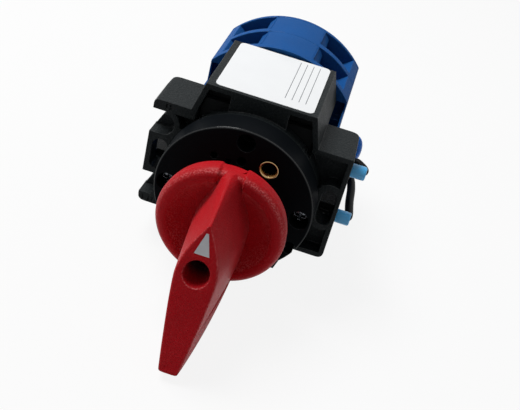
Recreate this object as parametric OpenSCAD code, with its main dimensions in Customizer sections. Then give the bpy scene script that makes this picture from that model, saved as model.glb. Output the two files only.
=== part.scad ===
// Manual transfer switch: a rotary cam switch with a lever handle, I - 0 - II.
// The shaft runs along Y, the front faces -Y and +Z is up. The origin lies on the
// shaft's axis, in the plane where the mounting frame meets the panel.

/* [Front disc] */
// Diameter of the disc that fills the round opening of a cover
disc_d = 45; // [44:0.5:46]
// Thickness of the disc
disc_h = 7.6; // [7:0.2:8.4]
// Rounding of the disc's front edge
disc_edge = 0.7; // [0.4:0.1:1.2]
// Turn of the disc's hole pattern about the axis, in degrees
disc_turn = 2; // [-4:0.5:4]
// Distance of each cover screw from the axis
cover_screw_x = 18.9; // [18.6:0.1:19.2]
// Diameter of the cover screws' recesses
cover_recess_d = 5.6; // [5.2:0.1:6]
// Depth of the cover screws' recesses
cover_recess_h = 4.2; // [3.4:0.2:4.8]
// Outside diameter of the brass bush
bush_d = 5.4; // [4.6:0.2:5.8]
// Bore of the brass bush
bush_bore = 3.3; // [2.5:0.1:3.8]

/* [Lever handle] */
// Diameter of the dished knob at its widest
knob_d = 35.4; // [34.6:0.2:36.4]
// Running gap between the knob and the disc
knob_gap = 0.6; // [0.4:0.1:1.2]
// Height of the rim's middle above the disc
rim_h = 11.8; // [11.2:0.2:12.6]
// Radius of the knob's rounded rim
rim_r = 2.4; // [2:0.1:2.8]
// Height of the dish at its middle above the disc
dish_h = 9.6; // [9:0.2:10.2]
// Height of the lever's face above the disc, on the axis
face_h = 34; // [32.2:0.2:36.2]
// Rise of the lever's face for each millimetre towards the tip
face_slope = 0.36; // [0.3:0.02:0.42]
// Reach of the lever's tip below the axis
tip_reach = 26; // [25:0.5:28]
// Widest half width of the lever's face
face_half_w = 5.4; // [4.8:0.1:5.8]
// Half width of the lever's tip
tip_half_w = 2.4; // [2:0.1:3]
// Diameter of the screw well in the lever's face
well_d = 6.6; // [6.2:0.1:7]

/* [Mounting frame] */
// Width over both flanges
frame_w = 57.2; // [56.4:0.2:58]
// Half height of the flanges
flange_z = 17.3; // [16.8:0.1:18]
// Half height of the raised roof
roof_z = 26.4; // [26:0.1:27.2]
// Half width of the roof's top
roof_half_w = 15.6; // [15.2:0.1:16]
// Half width of the roof's foot, at the flanges
roof_foot_w = 18.2; // [17.9:0.1:18.6]
// Wall of the roof and the rims
frame_wall = 1.6; // [1.4:0.1:1.8]
// Thickness of the shoulder plates
shoulder_t = 2.4; // [2:0.1:2.6]
// Depth of the shoulder plates
shoulder_d = 15.7; // [13:0.5:17]
// Gap between the roof's rear edge and the first open stage
roof_gap = 0.4; // [0.3:0.1:1]
// Distance between the two fixing slots
slot_spacing = 50; // [49.4:0.2:50.4]
// Width of the fixing slots
slot_w = 4.4; // [4:0.1:4.6]
// Length of the right fixing slot
slot_l = 11.6; // [9:0.2:12]
// Length of the left fixing slot
left_slot_l = 10; // [9:0.2:11.6]

/* [Contact stages] */
// Diameter of the two rear stages
drum_d = 55.6; // [54.4:0.2:57]
// Half width of every stage over its flat sides
stage_half_w = 21.5; // [21:0.1:22]
// Length of one stage along the shaft
pitch = 12.4; // [12.2:0.1:13]
// Thickness of the floor that closes each stage
floor_t = 2.4; // [2:0.1:2.6]
// Half width of the raised middle band
band_half_w = 9.7; // [9.6:0.1:10]
// Outer edge of the terminal pockets
pocket_x = 16.1; // [16:0.1:16.6]
// Thickness of the rear cover
rear_t = 1.4; // [1:0.1:2]

/* [Mechanism] */
// Turn from the middle to either on position, in degrees
throw_deg = 60; // [60:60:60]
// Side of the square drive shaft
shaft_w = 6; // [5.6:0.1:6.2]
// Radius of the cams under the followers, in the off position
cam_r = 6.2; // [6:0.1:6.3]
// Lift of a follower over one throw
lift = 1.6; // [1.4:0.1:1.7]
// Height of the wire entries above and below the axis
wire_z = 8.2; // [8.1:0.1:8.5]
// Diameter of the insulated jumper wires
wire_d = 2.6; // [2.2:0.1:2.7]
// Outside diameter of the wire ferrules' collars
collar_d = 4.1; // [3.7:0.1:4.3]
// Reach of the ferrules past the flange
ferrule_reach = 4.5; // [3.9:0.2:5.3]

/* [Hidden] */
$fn = 48;

// Colours
RED = [0.72, 0.11, 0.13];
BLACK = [0.12, 0.12, 0.13];
BLUE = [0.12, 0.36, 0.62];
STEEL = [0.66, 0.67, 0.69];
BRASS = [0.78, 0.62, 0.36];
COPPER = [0.80, 0.53, 0.36];
IVORY = [0.86, 0.84, 0.78];
WHITE = [0.95, 0.95, 0.95];
SKY = [0.30, 0.62, 0.80];

// Clearances: a sliding or turning fit, a loose fit between mouldings, a seated joint
run = 0.05;
loose = 0.3;
seat = 0.03;
// Reach of a cutter past the face that it opens
past = 1;

// Levels along Y
collar_h = 3.2;
disc_back = -collar_h;
disc_front = disc_back - disc_h;
web_t = 2.4;
latch_back = 6.6;
stage_front = latch_back;
stages = [for (i = [0:3]) stage_front + i * pitch];
stack_back = stage_front + 4 * pitch;
cover_back = stack_back + rear_t;
roof_d = stages[2] - roof_gap;
tray_floor = 4.6;
tray_back = 6;

// The frame's outline
collar_r = disc_d / 2 - 0.9;
collar_wall = 1;
boss_wall = 1.9;
slot_x = slot_spacing / 2;
flange_x = frame_w / 2 - 0.2;
left_x = frame_w / 2 + 0.2;
ferrule_x = flange_x + ferrule_reach;
flange_inner_z = flange_z - shoulder_t;
web_half_w = 8.2;
latch_boss_r = 15;
scoop_r = 3.3;
scoop_wall = 1.6;
scoop_x = slot_x + 0.2;
scoop_z = 10.05;
scoop_low_z = scoop_z - scoop_r;
left_under_z = flange_z - 3.15;
shelf_x = stage_half_w + loose;
shelf_z = 2.7;
shelf_t = 2.8;
shelf_d = 17.4;

// Pieces on the shaft
hub_r = 6.5;
journal_r = 2.5;
shaft_hole_r = 5.2;
shaft_end_h = 21.7;
well_floor_h = 24.2;
cam_span = 70;
cam_clear = 0.12;
cam_rate = lift / throw_deg;

// Contacts, from the axis outwards
bar_t = 1.2;
tip_t = 0.8;
pin_d = 1.8;
bar_z = wire_z - pin_d / 2 - bar_t;
bar_in_x = 6;
bar_out_x = 18.4;
bar_w = 9;
tip_l = 2.4;
tip_top = bar_z + bar_t + tip_t;
bridge_z = tip_top + run + lift + tip_t;
bridge_half_l = bar_in_x + tip_l + 0.2;
bridge_w = 6;
plunger_half_w = 2.6;
plunger_top = bridge_z + bar_t + 2.3;
plunger_w = pitch - floor_t - 0.6;
foot_r = 0.8;
spring_r = 2.3;
spring_wire_r = 0.35;
spring_turns = 5;
spring_bore_r = 3.1;
spring_top = 21.6;
clamp_z = wire_z + pin_d / 2 + 0.1;
clamp_t = 1;
screw_x = (band_half_w + pocket_x) / 2 + 0.4;
screw_r = 1.6;
screw_head_r = 2.8;
screw_head_h = 2;
wire_offset = 3.5;
tie_x = 6.4;
tie_z = 16.8;
tie_r = 1.5;

// Middle of a stage's working space, and of its wire entries, along Y
function work_y(i) = stages[i] + (floor_t + pitch) / 2;
function wire_y(i) = work_y(i) - wire_offset;
function mix(a, b, t) = a + (b - a) * t;
function ease(t) = let (u = min(1, max(0, t))) u * u * (3 - 2 * u);

// Shared shapes

// Carries a flat outline in X and Z along Y, from y over a length of h
module along_y(y, h) {
    translate([0, y + h, 0]) rotate([90, 0, 0]) linear_extrude(h) children();
}

// Turns a profile of [radius, y] points about the shaft's axis
module turned(profile) {
    rotate([-90, 0, 0]) rotate_extrude() polygon(profile);
}

module rod_y(r, y, h, x = 0, z = 0) {
    translate([x, y, z]) rotate([-90, 0, 0]) cylinder(r = r, h = h);
}

module rod_x(r, x, h, y, z) {
    translate([x, y, z]) rotate([0, 90, 0]) cylinder(r = r, h = h);
}

module block(low, high) {
    translate(low) cube(high - low);
}

module left_and_right() {
    children();
    mirror([1, 0, 0]) children();
}

module top_and_bottom() {
    children();
    mirror([0, 0, 1]) children();
}

module four_ways() {
    top_and_bottom() left_and_right() children();
}

// Flat slot outline with round ends, standing along Z
module upright_slot(w, l) {
    square([w, l - w], center = true);
    for (side = [-1, 1]) translate([0, side * (l - w) / 2]) circle(d = w);
}

// Outline whose corners are rounded off, each over its own length
function rounded(points, lengths) = let (n = len(points)) [
    for (i = [0:n - 1])
        let (
            here = points[i],
            before = here + lengths[i] * unit(points[(i + n - 1) % n] - here),
            after = here + lengths[i] * unit(points[(i + 1) % n] - here)
        )
            for (t = [0, 0.25, 0.5, 0.75, 1]) mix(mix(before, here, t), mix(here, after, t), t)
];

// Skin over a row of rings that all have the same number of points
module skin(rings) {
    m = len(rings[0]);
    n = len(rings);
    walls = [
        for (i = [0:n - 2], j = [0:m - 1], half = [0, 1])
            let (a = i * m + j, b = i * m + (j + 1) % m)
                half == 0 ? [a, b, b + m] : [a, b + m, a + m]
    ];
    caps = [
        for (j = [1:m - 2], end = [0, 1])
            end == 0 ? [0, j + 1, j] : [(n - 1) * m, (n - 1) * m + j, (n - 1) * m + j + 1]
    ];
    polyhedron([for (ring = rings, p = ring) p], concat(walls, caps));
}

// Smooth curve through hand-placed points
function between(a, b, c, d, t) =
    0.5 * (2 * b + (c - a) * t + (2 * a - 5 * b + 4 * c - d) * t * t
        + (3 * b - a - 3 * c + d) * t * t * t);
function curve(points, steps) = let (n = len(points)) concat(
    [for (i = [0:n - 2], k = [0:steps - 1])
        between(points[max(i - 1, 0)], points[i], points[i + 1], points[min(i + 2, n - 1)], k / steps)],
    [points[n - 1]]);
function unit(v) = v / norm(v);

// Round tube along a path, with each ring square to it
module tube(path, r, sides) {
    n = len(path);
    skin([
        for (i = [0:n - 1])
            let (
                ahead = unit(path[min(i + 1, n - 1)] - path[max(i - 1, 0)]),
                side = unit(cross(ahead, [0.11, 0.17, 1])),
                up = cross(side, ahead)
            )
                [
                    for (k = [0:sides - 1])
                        let (a = k * 360 / sides) path[i] + r * (cos(a) * side + sin(a) * up)
                ]
    ]);
}

// Lever handle: a dished knob with a fin that slopes up into the lever
knob_r = knob_d / 2;
knob_foot_r = 9.6;
tail_z = 17;
tail_h = 13.4;
tail_half_w = 3.5;
tail_inset = 0.35;
fin_half_w = 7.6;
fin_root_h = 7.8;
tail_root_h = 9.8;
leaf_point_z = 11.8;
leaf_wide_z = -1.5;
under_z = -16.4;
under_h = 11.8;
tip_t_h = 2.2;
edge_r = 0.6;
ridge_half_w = 0.25;

function face_at(z) = face_h - face_slope * z;
// Outline of the knob from its foot over the rim to the dish, drawn in by an inset
function knob_profile(inset) = let (
    middle = knob_r - rim_r,
    round_r = rim_r - inset,
    brim_r = middle + round_r * cos(120),
    brim_h = rim_h + round_r * sin(120)
) concat(
    [[0, knob_gap], [knob_foot_r - inset, knob_gap], [knob_r - 0.5 - inset, rim_h - 3.3]],
    [for (a = [0:20:120]) [middle + round_r * cos(a), rim_h + round_r * sin(a)]],
    [for (t = [0.9, 0.8, 0.65, 0.45, 0]) [brim_r * t, mix(dish_h - inset, brim_h, pow(t, 3))]]);
module knob(inset) {
    turned([for (p = knob_profile(inset)) [p[0], disc_front - p[1]]]);
}

// Half widths and heights of the fin where it is cut at height z
function fin_top_w(z) =
    z >= leaf_point_z ? ridge_half_w
    : z >= leaf_wide_z ? mix(face_half_w, ridge_half_w,
        pow((z - leaf_wide_z) / (leaf_point_z - leaf_wide_z), 1.8))
    : mix(face_half_w, tip_half_w, pow((leaf_wide_z - z) / (leaf_wide_z + tip_reach), 1.3));
function fin_top_h(z) =
    z >= leaf_point_z ? mix(face_at(leaf_point_z), tail_h, (z - leaf_point_z) / (tail_z - leaf_point_z))
    : face_at(z);
function fin_foot_w(z) =
    z >= -6 ? mix(tail_half_w, fin_half_w, ease((15 - z) / 16))
    : mix(fin_half_w, tip_half_w + 0.2, pow((-6 - z) / (tip_reach - 6), 2.2));
function under_tip_h() = face_at(-tip_reach) - tip_t_h;
function fin_foot_h(z) =
    z > under_z ? mix(fin_root_h, tail_root_h, ease((z - 9) / 4))
    : mix(under_h, under_tip_h(), pow(min(1, (under_z - z) / (under_z + tip_reach)), 2 / 3));
function fin_ring(z) = let (
    w0 = fin_foot_w(z),
    h0 = fin_foot_h(z),
    w1 = max(fin_top_w(z), 0.01),
    h1 = fin_top_h(z),
    e = min(edge_r, w1 / 2),
    half = [[w0, h0], [mix(w0, w1, 0.5), mix(h0, h1, 0.55)], [w1, h1 - e], [w1 - e, h1]]
) concat(
    [for (p = half) [p[0], disc_front - p[1], z]],
    [for (i = [3:-1:0]) [-half[i][0], disc_front - half[i][1], z]]);
// Heights at which the fin is cut, from the tip of the lever to its tail
fin_stations = concat(
    [for (q = [1, 0.9, 0.75, 0.6, 0.45, 0.3, 0.15, 0]) mix(under_z, -tip_reach, pow(q, 1.5))],
    [under_z + 0.4, -13, -9.5],
    [for (t = [1, 0.85, 0.7, 0.55, 0.4, 0.25, 0.12]) mix(leaf_point_z, -6, t)],
    [for (t = [1, 0.75, 0.5, 0.25, 0]) mix(tail_z, leaf_point_z, t)]);

module handle() {
    color(RED) difference() {
        union() {
            // Rim with a shallow step where the fin runs out over it
            difference() {
                knob(0);
                translate([0, disc_front, 0])
                    block([-tail_half_w, -face_h, tail_z / 2], [tail_half_w, 0, knob_r + past]);
            }
            knob(tail_inset);
            skin([for (z = fin_stations) fin_ring(z)]);
            rod_y(hub_r, disc_front - knob_gap - past, knob_gap + past + disc_h - 0.8);
        }
        rod_y(well_d / 2, disc_front - face_h - 20, 20 + face_h - well_floor_h);
        rod_y(handle_shank_r + 0.2, disc_front - well_floor_h - past, well_floor_h - shaft_end_h + 2 * past);
        along_y(disc_front - shaft_end_h - 0.2, shaft_end_h + 0.2 + disc_h)
            square(shaft_w + 2 * seat, center = true);
        inlay_solid(seat, past);
    }
}

// Pointer: a white triangle set into the lever's face, above the well
inlay_apex_z = 10.1;
inlay_base_z = 4.8;
inlay_half_w = 1.95;
inlay_t = 0.7;

module inlay_solid(gap, proud) {
    slope = atan(face_slope);
    stretch = 1 / cos(slope);
    translate([0, disc_front - face_h, 0]) rotate([90 - slope, 0, 0])
        translate([0, 0, -inlay_t]) linear_extrude(inlay_t + proud)
            polygon([
                [-inlay_half_w - gap, (inlay_base_z - gap) * stretch],
                [inlay_half_w + gap, (inlay_base_z - gap) * stretch],
                [0.3 + gap, (inlay_apex_z + gap) * stretch],
                [-0.3 - gap, (inlay_apex_z + gap) * stretch]
            ]);
}

module pointer_inlay() {
    color(WHITE) inlay_solid(0, 0);
}

// Screw with a round head and a crossed recess; the head's seat is at z = 0
module cross_screw(head_r, head_h, shank_r, shank_l) {
    difference() {
        union() {
            cylinder(r = head_r, h = head_h);
            translate([0, 0, -shank_l]) cylinder(r = shank_r, h = shank_l + head_h / 2);
        }
        for (turn = [0, 90]) rotate(turn)
            translate([0, 0, head_h]) cube([head_r * 1.2, head_r * 0.28, head_h], center = true);
    }
}

handle_head_r = 2.9;
handle_head_h = 2.2;
handle_shank_r = 1.95;
handle_shank_l = 12;

module handle_screw() {
    color(STEEL) translate([0, disc_front - well_floor_h, 0]) rotate([90, 0, 0])
        cross_screw(handle_head_r, handle_head_h, handle_shank_r, handle_shank_l);
}

// Front disc with its moulded holes, brass bush and cover screws
module on_disc() {
    rotate([0, -disc_turn, 0]) children();
}

bush_at = [8, 12.8];
plain_holes = [[0.7, 18.8, 2.6], [-7.2, 12.6, 1.1], [0.4, 13, 1.4], [-3.1, 11.9, 0.9], [18.2, -9.8, 2]];
hole_depth = 5.8;

module front_plate() {
    r = disc_d / 2;
    color(BLACK) difference() {
        turned(concat(
            [[0, disc_back], [r, disc_back]],
            [for (a = [0:15:90]) [r - disc_edge * (1 - cos(a)), disc_front + disc_edge * (1 - sin(a))]],
            [[0, disc_front]]));
        rod_y(hub_r + run, disc_front - past, disc_h + 2 * past);
        on_disc() {
            for (hole = plain_holes) rod_y(hole[2], disc_front - past, hole_depth + past, hole[0], hole[1]);
            rod_y(bush_d / 2 + seat, disc_front - past, disc_h + 2 * past, bush_at[0], bush_at[1]);
            left_and_right() {
                rod_y(cover_recess_d / 2, disc_front - past, cover_recess_h + past, cover_screw_x);
                rod_y(cover_shank_r + 0.25, disc_front, disc_h + past, cover_screw_x);
            }
        }
    }
}

module brass_bush() {
    color(BRASS) on_disc() difference() {
        rod_y(bush_d / 2, disc_front - 0.2, disc_h, bush_at[0], bush_at[1]);
        rod_y(bush_bore / 2, disc_front - past, disc_h + 2 * past, bush_at[0], bush_at[1]);
    }
}

cover_head_r = 2.4;
cover_head_h = 1.7;
cover_shank_r = 1.35;

module cover_screws() {
    seat_y = disc_front + cover_recess_h;
    color(STEEL) on_disc() left_and_right()
        translate([cover_screw_x, seat_y, 0]) rotate([90, 0, 0])
            cross_screw(cover_head_r, cover_head_h, cover_shank_r, tray_back - 0.6 - seat_y);
}

// Mounting frame: flanges with fixing slots, and a raised roof above and below
roof_lean = (roof_foot_w - roof_half_w) / (roof_z - flange_z);

// Outline of the roof from top to bottom, drawn in by a wall
module roof_outline(wall) {
    side = wall * sqrt(1 + roof_lean * roof_lean);
    top_w = roof_half_w - side + wall * roof_lean;
    foot_w = roof_foot_w - side;
    polygon([
        [-foot_w, -flange_z], [-top_w, wall - roof_z], [top_w, wall - roof_z], [foot_w, -flange_z],
        [foot_w, flange_z], [top_w, roof_z - wall], [-top_w, roof_z - wall], [-foot_w, flange_z]
    ]);
}

// Hollows in the right flange's front, between the rim, the collar and the slot boss
module right_tray_outline() {
    tray_z = flange_z - frame_wall;
    difference() {
        translate([roof_foot_w - frame_wall, -tray_z])
            square([flange_x - roof_foot_w + 0.2, 2 * tray_z]);
        circle(r = collar_r);
        translate([slot_x, 0]) upright_slot(slot_w + 2 * boss_wall, slot_l + 2 * boss_wall);
    }
}

// Hollow between a wire scoop's ring, the collar and the shoulder, as if it were on the right
module left_tray_outline() {
    difference() {
        translate([roof_foot_w - frame_wall, scoop_z])
            square([scoop_x - roof_foot_w + frame_wall, left_under_z - scoop_z]);
        circle(r = collar_r);
        translate([scoop_x, scoop_z]) circle(r = scoop_r + scoop_wall);
    }
}

module roof_pocket_outline() {
    difference() {
        intersection() {
            roof_outline(frame_wall);
            translate([web_half_w, flange_z - 4]) square([30, 30]);
        }
        circle(r = collar_r);
    }
}

// Places of the grooves in the front of the left shoulders
groove_places = [
    [-27.3, -16], [-25.6, -16], [-24.4, -16], [-23.2, -16], [-24.9, 15.7], [-23.8, 15.7]
];

module mounting_frame() {
    color(BLACK) difference() {
        union() {
            along_y(0, roof_d) roof_outline(0);
            flange_block();
            rod_y(collar_r, disc_back, collar_h + web_t);
        }
        // Space for the switch behind the front web, with a shelf under each slot
        along_y(web_t, roof_d) roof_outline(frame_wall);
        difference() {
            block(
                [-left_x - past, tray_back, -flange_inner_z],
                [flange_x + past, roof_d + past, flange_inner_z]
            );
            block([shelf_x, tray_back - past, -shelf_z - shelf_t], [flange_x - 0.6, shelf_d, -shelf_z]);
            block([0.45 - left_x, tray_back - past, -shelf_z - shelf_t], [-shelf_x, shelf_d, -shelf_z]);
        }
        // Ring that carries the disc, and the way in for the detent's boss
        rod_y(collar_r - collar_wall, disc_back - past, collar_h + past);
        rod_y(latch_boss_r + loose / 2, -past, web_t + 2 * past);
        // Fixing slots, flange hollows and roof pockets
        along_y(-past, tray_back + 2 * past) {
            translate([slot_x, 0]) upright_slot(slot_w, slot_l);
            translate([-slot_x, 0]) upright_slot(slot_w, left_slot_l);
        }
        on_disc() left_and_right() rod_y(cover_shank_r + run, -past, tray_back + 2 * past, cover_screw_x);
        along_y(-past, tray_floor + past) right_tray_outline();
        top_and_bottom() mirror([1, 0, 0]) along_y(-past, tray_floor + past) left_tray_outline();
        four_ways() along_y(-past, web_t + 2 * past) roof_pocket_outline();
        // Wire scoops in the left flange, open to the side and cut away aslant at the back
        top_and_bottom() {
            rod_y(scoop_r, -past, tray_floor + past, -scoop_x, scoop_z);
            block([-left_x - past, -past, scoop_low_z], [-scoop_x, tray_floor, left_under_z]);
        }
        for (low = [scoop_low_z, -left_under_z])
            along_y(-past, tray_back + 2 * past) translate([0, low]) polygon([
                [-left_x - past, 0], [0.4 - left_x, 0],
                [0.4 - scoop_x, left_under_z - scoop_low_z], [-left_x - past, left_under_z - scoop_low_z]
            ]);
        for (place = groove_places)
            block([place[0] - 0.25, -past, place[1] - 0.9], [place[0] + 0.25, 0.4, place[1] + 0.9]);
        // Ways through the web for the tie screws
        tie_places() rod_y(tie_r + 0.1, -past, web_t + 2 * past);
    }
}

// Shoulders and flanges in one block, drawn in towards the back
module flange_block() {
    taper = 0.6;
    intersection() {
        along_y(0, shoulder_d) polygon(rounded([
            [-left_x, -flange_z], [flange_x, -flange_z], [flange_x, flange_z], [-left_x, flange_z]
        ], [2, 2, 0.5, 1.6]));
        translate([0, 0, -flange_z - past]) linear_extrude(2 * flange_z + 2 * past) polygon(rounded([
            [-left_x, 0], [flange_x, 0], [flange_x - taper, shoulder_d], [taper - left_x, shoulder_d]
        ], [0.2, 0.2, 2.4, 2.4]));
    }
}

module tie_places() {
    for (side = [-1, 1]) translate([side * tie_x, 0, side * tie_z]) children();
}

// Bare label on the roof
label_half_w = 13.8;
label_shift = 0.3;
label_front = 0.9;
label_back = 0.5;
label_t = 0.2;
label_corner = 1.6;

module rating_label() {
    far = roof_d - label_back;
    color(WHITE) translate([label_shift, 0, roof_z]) linear_extrude(label_t) {
        translate([-label_half_w, label_front + label_corner])
            square([2 * label_half_w, far - label_front - 2 * label_corner]);
        translate([label_corner - label_half_w, label_front])
            square([2 * (label_half_w - label_corner), far - label_front]);
        for (x = [-1, 1], y = [label_front + label_corner, far - label_corner])
            translate([x * (label_half_w - label_corner), y]) circle(r = label_corner);
    }
}

// Detent: a six-lobed star between two leaf springs, in its own housing
star_r = 8.2;
star_wave = 0.9;
latch_half_w = 16;
latch_half_h = 21;
latch_plate_y = 4.8;
latch_cave_x = 12.6;
latch_cave_z = 11;
leaf_t = 0.5;
leaf_x = 12;
leaf_half_l = 10.4;
nose_r = 1.5;

module latch_housing() {
    color(BLACK) difference() {
        union() {
            rod_y(latch_boss_r, disc_back + 0.2, collar_h + web_t);
            along_y(web_t, latch_back - web_t) intersection() {
                square([2 * latch_half_w, 2 * latch_half_h], center = true);
                roof_outline(frame_wall + loose);
            }
            along_y(latch_plate_y, latch_back - latch_plate_y) roof_outline(frame_wall + loose);
        }
        rod_y(shaft_hole_r, disc_back - past, collar_h + web_t + 2 * past);
        block([-latch_cave_x, web_t + 0.2, -latch_cave_z], [latch_cave_x, latch_back + past, latch_cave_z]);
        tie_places() rod_y(tie_r + 0.1, web_t - past, latch_back + past);
    }
}

module star_wheel() {
    color(IVORY) along_y(web_t + 0.5, latch_back - web_t - 0.8) difference() {
        polygon([for (a = [0:5:355]) (star_r - star_wave * cos(6 * a)) * [cos(a), sin(a)]]);
        square(shaft_w + 2 * seat, center = true);
    }
}

// Bent strip whose nose rests in a valley of the star
module detent_springs() {
    nose_x = star_r - star_wave + 0.1 + leaf_t + nose_r;
    middle = concat(
        [[leaf_x, -leaf_half_l], [leaf_x - 0.2, -leaf_half_l + 2]],
        [for (a = [250:-20:110]) [nose_x + (nose_r + leaf_t / 2) * cos(a), (nose_r + leaf_t / 2) * sin(a)]],
        [[leaf_x - 0.2, leaf_half_l - 2], [leaf_x, leaf_half_l]]);
    n = len(middle);
    across = [
        for (i = [0:n - 1])
            let (t = unit(middle[min(i + 1, n - 1)] - middle[max(i - 1, 0)])) [-t[1], t[0]] * leaf_t / 2
    ];
    color(STEEL) left_and_right() along_y(web_t + 0.8, latch_back - web_t - 1.4)
        polygon(concat(
            [for (i = [0:n - 1]) middle[i] + across[i]],
            [for (i = [n - 1:-1:0]) middle[i] - across[i]]));
}

// Square shaft from the handle to the rear cover
module drive_shaft() {
    front = disc_front - shaft_end_h;
    color(STEEL) difference() {
        union() {
            along_y(front, stack_back - 0.2 - front) square(shaft_w, center = true);
            rod_y(journal_r, stack_back - past, past + rear_t);
        }
        rod_y(handle_shank_r + run, front - past, handle_shank_l + 2 + past);
    }
}

// Contact stages: a floor in front and a frame behind it, stacked along the shaft
pocket_floor_z = bar_z - 0.1;
lobe_cut = [pocket_x, 17.8];
lobe_cut_deg = 38;
left_block_z = wire_z + collar_d / 2 + 0.6;

module drum_outline() {
    intersection() {
        circle(d = drum_d);
        square([2 * stage_half_w, drum_d], center = true);
    }
}

module inner_stage_outline() {
    roof_outline(frame_wall + loose);
    square([2 * stage_half_w, 2 * (flange_inner_z - loose)], center = true);
}

module stage_cuts(i) {
    front = stages[i];
    open = front + floor_t;
    far = front + pitch + past;
    // Shaft, cam and followers
    rod_y(shaft_hole_r, front - past, floor_t + 2 * past);
    rod_y(cam_r + cam_rate * cam_span + 0.5, open, far - open);
    top_and_bottom() {
        block([-plunger_half_w - 0.2, open, 0], [plunger_half_w + 0.2, far, plunger_top + lift + 0.4]);
        block(
            [-bridge_half_l - 0.4, open, bar_z],
            [bridge_half_l + 0.4, far, bridge_z + bar_t + lift + 0.4]
        );
        translate([0, work_y(i), plunger_top])
            cylinder(r = spring_bore_r, h = spring_top + 0.1 - plunger_top);
    }
    four_ways() {
        // Terminal pocket, the contact bar's slot and the wire entry
        block([band_half_w, open, pocket_floor_z], [pocket_x, far, roof_z + drum_d]);
        block([bar_in_x - 0.3, work_y(i) - bar_w / 2 - 0.1, pocket_floor_z],
            [bar_out_x + 0.2, far, bar_z + bar_t + 0.1]);
        rod_x(collar_d / 2 + 0.25, pocket_x - past, stage_half_w - pocket_x + 2 * past, wire_y(i), wire_z);
    }
    tie_places() rod_y(tie_r + 0.1, front - past, pitch + 2 * past);
}

module inner_stage(i) {
    color(BLUE) difference() {
        along_y(stages[i], pitch) inner_stage_outline();
        stage_cuts(i);
        // Lower side block on the left, clear of the shoulder's wire way
        top_and_bottom() block([-stage_half_w - past, stages[i] - past, left_block_z],
            [-roof_foot_w, stages[i] + pitch + past, roof_z]);
    }
}

module rear_stage(i) {
    color(BLUE) difference() {
        along_y(stages[i], pitch) drum_outline();
        stage_cuts(i);
        // Slanted tops of the side lobes, behind the floor's rim
        four_ways() translate([lobe_cut[0], stages[i] + floor_t, lobe_cut[1]]) rotate([0, -lobe_cut_deg, 0])
            translate([-past, 0, 0]) cube([12, pitch, 12]);
    }
}

module stage_1() {
    inner_stage(0);
}

module stage_2() {
    inner_stage(1);
}

module stage_3() {
    rear_stage(2);
}

module stage_4() {
    rear_stage(3);
}

module rear_cover() {
    color(BLUE) difference() {
        along_y(stack_back, rear_t) drum_outline();
        rod_y(journal_r + run, stack_back - past, rear_t + 2 * past);
        tie_places() rod_y(tie_r + 0.1, stack_back - past, rear_t + 2 * past);
    }
}

// Two long screws that clamp the stages to the frame, and their nuts
nut_w = 5;
nut_t = 2.4;

module tie_screws() {
    color(STEEL) tie_places() translate([0, cover_back, 0]) rotate([-90, 0, 0])
        cross_screw(2.75, 2, tie_r, cover_back + nut_t);
}

module tie_nuts() {
    color(STEEL) tie_places() along_y(-nut_t, nut_t) difference() {
        rotate(atan2(tie_z, tie_x) - 30) circle(d = nut_w / cos(30), $fn = 6);
        circle(r = tie_r + seat);
    }
}

// Cams: two steady spirals, half a turn apart, so that both followers lift alike
function cam_at(a, hand) = let (b = a - 180 * round(a / 180))
    cam_r + hand * cam_rate
        * (abs(b) <= cam_span ? b : sign(b) * cam_span * (90 - abs(b)) / (90 - cam_span));

module cam(i, hand) {
    along_y(work_y(i) - plunger_w / 2, plunger_w) difference() {
        polygon([for (a = [0:5:355]) cam_at(a, hand) * [sin(a), cos(a)]]);
        square(shaft_w + 2 * seat, center = true);
    }
}

module cams_one() {
    color(IVORY) for (i = [0, 3]) cam(i, -1);
}

module cams_two() {
    color(IVORY) for (i = [1, 2]) cam(i, 1);
}

// Follower with a round foot on the cam, a window for the bridge and a pin for the spring
module plunger(i) {
    foot_z = cam_r + cam_clear;
    translate([0, work_y(i), 0]) difference() {
        union() {
            rod_y(foot_r, -plunger_w / 2, plunger_w, 0, foot_z + foot_r);
            block([-foot_r, -plunger_w / 2, foot_z + foot_r], [foot_r, plunger_w / 2, bridge_z - 1.4]);
            block(
                [-plunger_half_w, -plunger_w / 2, bridge_z - 1.8],
                [plunger_half_w, plunger_w / 2, plunger_top]
            );
            translate([0, 0, plunger_top - past]) cylinder(r = 1.6, h = past + 1.5);
        }
        block([-plunger_half_w - past, -bridge_w / 2 - run, bridge_z - run],
            [plunger_half_w + past, bridge_w / 2 + run, bridge_z + bar_t + run]);
    }
}

// Bar with two contact tips that joins a pair of fixed contacts
module bridge(i) {
    translate([0, work_y(i), 0]) {
        block([-bridge_half_l, -bridge_w / 2, bridge_z], [bridge_half_l, bridge_w / 2, bridge_z + bar_t]);
        left_and_right()
            block(
                [bridge_half_l - tip_l, -bridge_w / 2 + 1, bridge_z - tip_t],
                [bridge_half_l, bridge_w / 2 - 1, bridge_z]
            );
    }
}

// Coil between a follower and the end of its chamber
module contact_spring(i) {
    low = plunger_top + 0.05 + spring_wire_r;
    high = spring_top - 0.05 - spring_wire_r;
    steps = spring_turns * 8;
    path = [
        for (k = [0:steps])
            [spring_r * cos(k * 45), work_y(i) + spring_r * sin(k * 45), mix(low, high, k / steps)]
    ];
    tube(path, spring_wire_r, 6);
}

module plungers_one_upper() {
    color(IVORY) for (i = [0, 3]) plunger(i);
}

module plungers_one_lower() {
    color(IVORY) mirror([0, 0, 1]) for (i = [0, 3]) plunger(i);
}

module plungers_two_upper() {
    color(IVORY) for (i = [1, 2]) plunger(i);
}

module plungers_two_lower() {
    color(IVORY) mirror([0, 0, 1]) for (i = [1, 2]) plunger(i);
}

module bridges_one_upper() {
    color(COPPER) for (i = [0, 3]) bridge(i);
}

module bridges_one_lower() {
    color(COPPER) mirror([0, 0, 1]) for (i = [0, 3]) bridge(i);
}

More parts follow.
